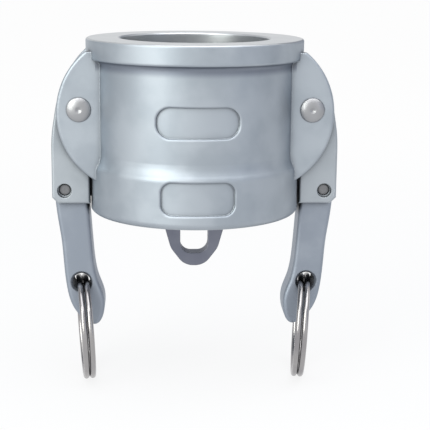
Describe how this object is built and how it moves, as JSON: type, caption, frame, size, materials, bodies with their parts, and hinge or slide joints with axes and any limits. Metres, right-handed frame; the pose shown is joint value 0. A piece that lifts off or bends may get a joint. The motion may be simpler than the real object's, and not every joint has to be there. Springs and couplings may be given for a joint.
{
  "type": "cam and groove dust cap",
  "caption": "Closed cam and groove coupler with a gasketed bore, self-locking cam arms, split pull rings and a chain lug.",
  "frame": {"origin": "centre of the mouth plane, on the axis of the adapter bore", "axes": "+Z out of the mouth along the bore, the way the adapter leaves; the cam arms stand at -X (left) and +X (right); -Y is the front with the two bare panels"},
  "size_m": [0.071, 0.054, 0.088],
  "materials": {
    "cast_stainless": "bead-blasted investment casting, satin",
    "arm_stainless": "satin casting, edges polished by tumbling",
    "lever_stainless": "satin casting",
    "pin_stainless": "turned and peened",
    "spring_wire": "drawn wire",
    "ring_wire": "bright drawn wire",
    "gasket_rubber": "moulded nitrile, matt"
  },
  "bodies": {
    "cap": {"cap_body": "cast_stainless", "cap_lug": "cast_stainless", "gasket": "gasket_rubber", "left_cam_pin": "pin_stainless", "right_cam_pin": "pin_stainless"},
    "left_arm": {"left_cam_head": "arm_stainless", "left_lever_pin": "pin_stainless", "left_lever_spring": "spring_wire"},
    "left_lock": {"left_lock_lever": "lever_stainless"},
    "left_ring": {"left_pull_ring": "ring_wire"},
    "right_arm": {"right_cam_head": "arm_stainless", "right_lever_pin": "pin_stainless", "right_lever_spring": "spring_wire"},
    "right_lock": {"right_lock_lever": "lever_stainless"},
    "right_ring": {"right_pull_ring": "ring_wire"}
  },
  "joints": [
    {"name": "left_arm_swing", "type": "hinge", "parent": "cap", "child": "left_arm", "pos_m": [-0.0284, 0, -0.0168], "axis": [0, 1, 0], "range_deg": [0, 110]},
    {"name": "left_lock_release", "type": "hinge", "parent": "left_arm", "child": "left_lock", "pos_m": [-0.0324, 0, -0.0375], "axis": [0, 1, 0], "range_deg": [0, 12], "stiffness_Nm_per_rad": 0.02, "springref_deg": -20.05, "deforming": ["left_lever_spring"]},
    {"name": "left_ring_swing", "type": "hinge", "parent": "left_lock", "child": "left_ring", "pos_m": [-0.02865, 0, -0.0615], "axis": [0, 1, 0], "range_deg": [-75, 110]},
    {"name": "right_arm_swing", "type": "hinge", "parent": "cap", "child": "right_arm", "pos_m": [0.0284, 0, -0.0168], "axis": [0, -1, 0], "range_deg": [0, 110]},
    {"name": "right_lock_release", "type": "hinge", "parent": "right_arm", "child": "right_lock", "pos_m": [0.0324, 0, -0.0375], "axis": [0, -1, 0], "range_deg": [0, 12], "stiffness_Nm_per_rad": 0.02, "springref_deg": -20.05, "deforming": ["right_lever_spring"]},
    {"name": "right_ring_swing", "type": "hinge", "parent": "right_lock", "child": "right_ring", "pos_m": [0.02865, 0, -0.0615], "axis": [0, -1, 0], "range_deg": [-75, 110]}
  ]
}
